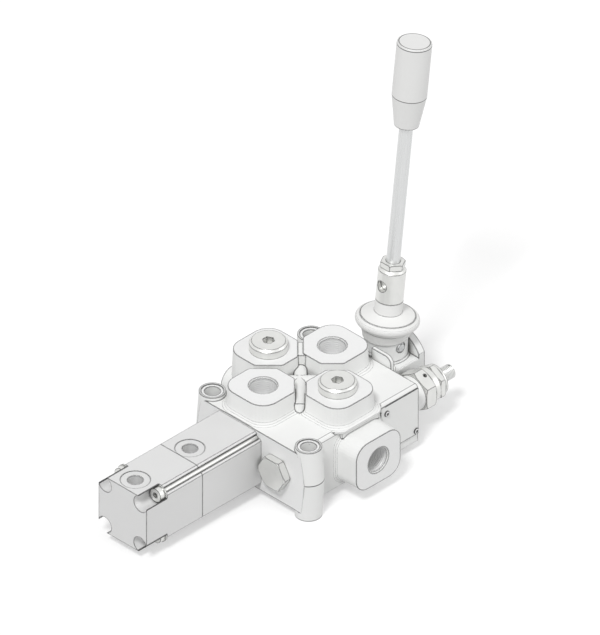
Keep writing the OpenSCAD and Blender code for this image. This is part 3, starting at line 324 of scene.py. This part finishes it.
# Top plugs: two collared plugs with hexagon sockets, screwed into the two top ports that aren't
# used. They are turned from steel bar, which leaves rings, and zinc plated, a little cloudy.
def plated(name, along, off):
    """Zinc on turned steel. along and off make, from a place, its station on the lathe's axis and
    its distance from it."""
    made, w, shader = new_finish(name, metallic=0.6)
    at = w.node("TexCoord", out="Object")
    rings_per_metre = 3200
    turned = w.node("CombineXYZ", values={0: along(at) * rings_per_metre, 1: off(at) * rings_per_metre})
    rings = mottle(turned, scale=1, detail=2)
    cloud = mottle(at, scale=170, detail=3)
    zinc = cloud.between(colour(0.70, 0.705, 0.69), colour(0.80, 0.80, 0.78))
    # Painted shade: ambient occlusion darkens the zinc in corners and crevices.
    shaded_coat = out_of_corner_shade(w, reach=0.003, low=0.1, high=0.7).between(colour(0.33, 0.33, 0.32), zinc)
    feed(worn_edges(w, radius=0.0008).between(shaded_coat, colour(0.06)), shader, "Base Color")
    feed(0.22 + cloud * 0.12 + rings * 0.12, shader, "Roughness")
    emboss(rings, shader, strength=0.25, depth=0.00004, edge_r=0.0001)
    return made


def up_from_feet(at):
    return split(at)[2]


def off_plugs(at):
    x, y, z = split(at)
    return nearest(*(away(x, y, port_x, port_y) for port_x, port_y in plugged_ports))


dress(plated("plug_plating", up_from_feet, off_plugs), "top_plugs")

# Seals and gasket: black nitrile rubber with a faint bloom, pressed in moulds. The rings lie in
# grooves of the plugs, bores and blocks, and the gasket is clamped under the lever box's cover.
seal_finish, w, shader = new_finish("seal_rubber", specular=0.4)
bloom = mottle(w.node("TexCoord", out="Object"), scale=300, detail=3)
feed(bloom.between(colour(0.02), colour(0.035)), shader, "Base Color")
feed(0.45 + bloom * 0.2, shader, "Roughness")
dress(seal_finish, "top_plug_seals", "end_plug_seal", "spool_seals", "block_seals", "piston_seals",
      "rod_seal", "relief_seal", "cover_gasket")

# Spool, rod, poppets and pivot pin: steel, turned, hardened and ground to fit their bores, with fine
# scratches all over. They work in oil, so nothing on them is painted or plated.
steel_finish, w, shader = new_finish("ground_steel", metallic=0.75)
scratches = mottle(w.node("TexCoord", out="Object"), scale=1800, detail=2)
ground = scratches.between(colour(0.70, 0.71, 0.72), colour(0.76, 0.77, 0.78))
feed(worn_edges(w, radius=0.0006).between(ground, colour(0.06)), shader, "Base Color")
feed(0.2 + scratches * 0.1, shader, "Roughness")
dress(steel_finish, "spool", "piston_rod", "check_poppet", "relief_poppet", "pivot_pin",
      "inner_spring", "outer_spring", "check_spring", "relief_spring")


# Springs: coils of drawn steel wire on guides. One end rests in the valve and the other follows its
# piston or poppet. Each is wound here in place of its CAD node, which is hidden.
def wind_spring(name, wire_r, turns):
    low, high = (Vector(corner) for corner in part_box(name))
    middle_y, middle_z = (low.y + high.y) / 2, (low.z + high.z) / 2
    coil_r = (high.z - low.z) / 2 - wire_r
    bpy.ops.object.select_all(action="DESELECT")
    bpy.ops.mesh.primitive_circle_add(vertices=12, radius=wire_r, location=(0, coil_r, 0))
    spring = bpy.context.object
    spring.name = "wound_" + name
    bpy.ops.object.transform_apply(location=True, rotation=True, scale=True)
    coil = spring.modifiers.new("coil", "SCREW")
    coil.axis = "X"
    coil.iterations = turns
    coil.steps = coil.render_steps = 28
    coil.screw_offset = (high.x - low.x - 2 * wire_r) / turns
    bpy.ops.object.modifier_apply(modifier="coil")
    spring.location = (low.x + wire_r, middle_y, middle_z)
    bpy.ops.object.transform_apply(location=True, rotation=True, scale=True)
    bpy.ops.object.mode_set(mode="EDIT")
    bpy.ops.mesh.select_all(action="SELECT")
    bpy.ops.mesh.fill_holes(sides=0)
    bpy.ops.mesh.normals_make_consistent(inside=False)
    bpy.ops.object.mode_set(mode="OBJECT")
    bpy.ops.object.shade_smooth_by_angle(angle=math.radians(50))
    spring.data.materials.append(steel_finish)
    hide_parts(name)
    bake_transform(spring)


wind_spring("inner_spring", wire_r=0.001, turns=4)
wind_spring("outer_spring", wire_r=0.001, turns=4)
wind_spring("check_spring", wire_r=0.0005, turns=5)
wind_spring("relief_spring", wire_r=0.0006, turns=7)

# Air cylinder: two blocks and a piston, sawn from drawn aluminium bar and anodised light grey. The
# drawing die leaves fine lines along the bar, and the spot faces round the air ports are milled.
air_ports = ((-0.08905, axis_y), (-0.04565, axis_y))
air_port_r, air_port_floor, air_port_pitch = 0.0044, 0.0350, 0.000907
spot_r, spot_height, spot_feed = 0.0084, 0.0430, 0.0005236
block_finish, w, shader = new_finish("anodised_block", metallic=0.12, specular=0.45)
at = w.node("TexCoord", out="Object")
x, y, z = split(at)
sawn = abs(split(w.node("TexCoord", out="Normal"))[0]).rise(0.8, 0.9)
die_lines = mottle(w.node("Mapping", values={"Vector": at, "Scale": (14, 1500, 1500)}), scale=1, detail=2)
saw_marks = mottle(w.node("Mapping", values={"Vector": at, "Scale": (1, 60, 1900)}), scale=1, detail=2)
to_air_port = nearest(*(away(x, y, port_x, port_y) for port_x, port_y in air_ports))
in_air_port = near(to_air_port, air_port_r, air_port_r + 0.0001)
in_air_port = in_air_port * z.rise(air_port_floor, air_port_floor + 0.0005)
fine_thread = in_air_port * z.wave(air_port_pitch)
on_spot = near(to_air_port, spot_r, spot_r + 0.0001) * z.rise(spot_height, spot_height + 0.0001)
spot_rings = on_spot * to_air_port.wave(spot_feed)
grey = mottle(at, scale=30, detail=2).between(colour(0.69, 0.69, 0.688), colour(0.74, 0.74, 0.738))
# Painted shade: ambient occlusion darkens the anodised grey in corners and crevices.
shaded_coat = out_of_corner_shade(w, reach=0.004, low=0.1, high=0.7).between(colour(0.27), grey)
feed(worn_edges(w, radius=0.0009).between(shaded_coat, colour(0.08)), shader, "Base Color")
feed(0.34 + die_lines * 0.16 - in_air_port * 0.1, shader, "Roughness")
marks = die_lines * (1 - sawn) + saw_marks * sawn
emboss(marks + spot_rings * 0.5 + fine_thread * 5, shader, strength=0.3, depth=0.00005, edge_r=0.0004)
dress(block_finish, "outer_block", "inner_block", "piston")

# Screws and piston nut: four long socket screws on thin washers clamp the two blocks to the casting,
# and shorter ones hold the lever box and its cover. All are turned steel, zinc plated.
screw_offset = 0.01405  # how far the long screws stand from the spool's axis, sideways and upwards


def along_spool(at):
    return split(at)[0]


def off_screws(at):
    x, y, z = split(at)
    return away(abs(y - axis_y), abs(z - axis_z), screw_offset, screw_offset)


dress(plated("screw_plating", along_spool, off_screws), "block_screws", "block_washers", "piston_nut",
      "box_screws", "cover_screws")

# Relief valve and end plug: turned from hexagon steel bar and zinc plated. The relief valve, with its
# ring, washer and lock nut, is screwed into one end of the long drilling and the plug into the other.
relief_y, relief_z = axis_y - 0.0314, axis_z


def off_relief(at):
    x, y, z = split(at)
    return away(y, z, relief_y, relief_z)


dress(plated("relief_plating", along_spool, off_relief), "end_plug", "relief_cartridge", "relief_ring",
      "relief_locknut", "relief_washer")

# Adjusting screw: the relief valve's setting screw, a plated steel stud with a fine thread that is
# rolled over its whole length. The grooves are painted darker than the crests, as painted shade.
adjuster_pitch = 0.001
thread_plating, w, shader = new_finish("thread_plating", metallic=0.6)
at = w.node("TexCoord", out="Object")
x, y, z = split(at)
round_side = near(split(w.node("TexCoord", out="Normal"))[0], 0.3, 0.5)
angle = w.math("ARCTAN2", z - relief_z, y - relief_y)
flanks = w.math("SINE", x * (2 * math.pi / adjuster_pitch) + angle)
unshaded_crests = (flanks * 0.5 + 0.5).rise(0.0, 0.6)
feed(unshaded_crests.between(colour(0.50, 0.505, 0.495), colour(0.83, 0.835, 0.82)), shader, "Base Color")
feed(0.24 + mottle(at, scale=200, detail=3) * 0.16, shader, "Roughness")
emboss(flanks * round_side, shader, strength=0.7, depth=0.00022)
dress(thread_plating, "relief_adjuster")

# Lever box and end cover: pressure die cast in aluminium, which comes out smoother than the sand
# casting, with the same off-white paint. The box is screwed to the casting, the cover to the box.
box_paint, w, shader = new_finish("box_paint", specular=0.4)
at = w.node("TexCoord", out="Object")
grain = mottle(at, scale=1100, detail=3)
paint = mottle(at, scale=60, detail=3).between(colour(0.79, 0.795, 0.79), colour(0.84, 0.843, 0.838))
# Painted shade: ambient occlusion darkens the paint in corners and crevices.
shaded_coat = out_of_corner_shade(w, reach=0.005, low=0.15, high=0.75).between(colour(0.40, 0.40, 0.39), paint)
feed(worn_edges(w, radius=0.0011).between(shaded_coat, colour(0.06)), shader, "Base Color")
feed(0.42 + grain * 0.14, shader, "Roughness")
emboss(grain, shader, strength=0.35, depth=0.00006, edge_r=0.0006)
dress(box_paint, "lever_box", "end_cover")

# Lever arm and nut: the arm, with its hub and its ball end, is turned from steel bar and swings on
# the pivot pin. A thin nut locks the rod in the hub. Both are zinc plated.
pivot = Vector((0.1097, -0.0278, 0.0413))
lean = math.radians(6.86)
lever_way = Vector((math.sin(lean), 0, math.cos(lean)))


def on_lever(at):
    """The same place, measured from the pivot along the axes of the leaning lever."""
    return at.node("Mapping", {"vector_type": "TEXTURE"},
                   {"Vector": at, "Location": tuple(pivot), "Rotation": (0, lean, 0)})


def along_lever(at):
    return split(on_lever(at))[2]


def off_lever(at):
    x, y, z = split(on_lever(at))
    return away(x, y, 0, 0)


dress(plated("lever_plating", along_lever, off_lever), "lever_arm", "lever_nut")

# Lever rod: bright steel rod, drawn through a die that scratches it lengthways, and screwed into the
# hub at its lower end and into the knob at its upper end.
rod_finish, w, shader = new_finish("drawn_rod", metallic=0.7)
drawn = w.node("Mapping", values={"Vector": on_lever(w.node("TexCoord", out="Object")),
                                  "Scale": (2600, 2600, 30)})
scratches = mottle(drawn, scale=1, detail=2)
feed(scratches.between(colour(0.62, 0.63, 0.63), colour(0.74, 0.745, 0.745)), shader, "Base Color")
feed(0.22 + scratches * 0.14, shader, "Roughness")
emboss(scratches, shader, strength=0.15, depth=0.00003)
dress(rod_finish, "lever_rod")

# Knob: one long tapered moulding in pale plastic with a fine spark-eroded grain. Dirt has drawn a
# dark ring where the taper starts and two more at the rounded top edge.
knob_taper, knob_top, knob_r, knob_edge = 0.1597, 0.1942, 0.0101, 0.0012
knob_finish, w, shader = new_finish("knob_plastic")
at = w.node("TexCoord", out="Object")
grain = mottle(at, scale=1500, detail=3)
moulding = mottle(at, scale=40, detail=2).between(colour(0.76, 0.76, 0.752), colour(0.80, 0.80, 0.792))
station, off = along_lever(at), off_lever(at)
taper_ring = near(station - knob_taper, 0.00015, 0.00035)
side_ring = near(station - (knob_top - knob_edge), 0.00015, 0.00035)
top_ring = near(off - (knob_r - knob_edge), 0.00015, 0.00035) * station.rise(0.190, 0.191)
worn = worn_edges(w, radius=0.0011) + taper_ring + side_ring + top_ring
feed(worn.between(moulding, colour(0.10)), shader, "Base Color")
feed(0.34 + grain * 0.16, shader, "Roughness")
emboss(grain, shader, strength=0.3, depth=0.00004)
dress(knob_finish, "lever_knob")

# Boot: moulded pale rubber. Its lip grips the turret top, a crease and a belly let it follow the
# lever, and its collar grips the stem under the hub. It is drawn up ring by ring from the lip.
boot_finish, w, shader = new_finish("boot_rubber", specular=0.35)
at = w.node("TexCoord", out="Object")
grain = mottle(at, scale=900, detail=3)
rubber = mottle(at, scale=60, detail=2).between(colour(0.80, 0.80, 0.79), colour(0.85, 0.85, 0.84))
# Painted shade: ambient occlusion darkens the rubber in creases and corners.
shaded_coat = out_of_corner_shade(w, reach=0.004, low=0.1, high=0.7).between(colour(0.42, 0.42, 0.41), rubber)
feed(worn_edges(w, radius=0.0007).between(shaded_coat, colour(0.14)), shader, "Base Color")
feed(0.5 + grain * 0.2, shader, "Roughness")
emboss(grain, shader, strength=0.3, depth=0.00005)

turret_top = Vector((0.1102, -0.0278, 0.04515))
mouth_r = 13.5
boot_rings = (  # radius and distance from the pivot in millimetres, and the share of the lever's lean
    # lip and crease
    (13.55, 5.6, 0.0), (14.1, 6.5, 0.3), (14.6, 7.8, 0.7), (14.9, 8.9, 1.0),
    # belly
    (16.6, 10.3, 1.0), (17.75, 11.5, 1.0), (18.2, 12.2, 1.0), (18.42, 12.9, 1.0),
    (18.45, 13.6, 1.0), (18.25, 14.3, 1.0), (17.8, 14.95, 1.0),
    # groove at the rim
    (16.0, 16.1, 1.0), (15.75, 15.75, 1.0), (15.5, 16.3, 1.0),
    # cone and collar
    (8.6, 18.55, 1.0), (8.1, 18.85, 1.0), (8.0, 19.4, 1.0), (8.0, 26.3, 1.0),
)
moulded_edges = (8.9, 16.1, 16.3)  # distances of the rings where the mould leaves a clear edge
rubber_thickness = 0.0013
bpy.ops.object.select_all(action="DESELECT")
bpy.ops.mesh.primitive_circle_add(vertices=128, radius=mouth_r / 1000, location=turret_top)
boot = bpy.context.object
boot.name = "rubber_boot"
bpy.ops.object.transform_apply(location=True, rotation=True, scale=True)
bpy.ops.object.mode_set(mode="EDIT")
bpy.ops.mesh.select_all(action="SELECT")
here, radius, leaning = turret_top.copy(), mouth_r, 0.0
for next_radius, distance, share in boot_rings:
    there = pivot + lever_way * (distance / 1000)
    if share == 0:
        there = Vector((turret_top.x, turret_top.y, pivot.z + distance / 1000))
    bpy.ops.mesh.extrude_edges_move()
    bpy.ops.transform.translate(value=there - here)
    bpy.ops.transform.resize(value=(next_radius / radius,) * 3, center_override=there)
    if share != leaning:
        bpy.ops.transform.rotate(value=-lean * (share - leaning), orient_axis="Y", center_override=there)
    if distance in moulded_edges:
        bpy.ops.mesh.mark_sharp()
    here, radius, leaning = there, next_radius, share
bpy.ops.mesh.select_all(action="SELECT")
bpy.ops.mesh.normals_make_consistent(inside=False)
bpy.ops.object.mode_set(mode="OBJECT")
wall = boot.modifiers.new("wall", "SOLIDIFY")
wall.thickness = rubber_thickness
wall.offset = -1
bpy.ops.object.modifier_apply(modifier="wall")
rounded = boot.modifiers.new("rounded", "BEVEL")
rounded.width = 0.0002
rounded.segments = 2
rounded.limit_method = "ANGLE"
rounded.angle_limit = math.radians(50)
bpy.ops.object.modifier_apply(modifier="rounded")
bpy.ops.object.shade_smooth_by_angle(angle=math.radians(35))
boot.data.materials.append(boot_finish)
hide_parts("lever_boot")
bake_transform(boot)
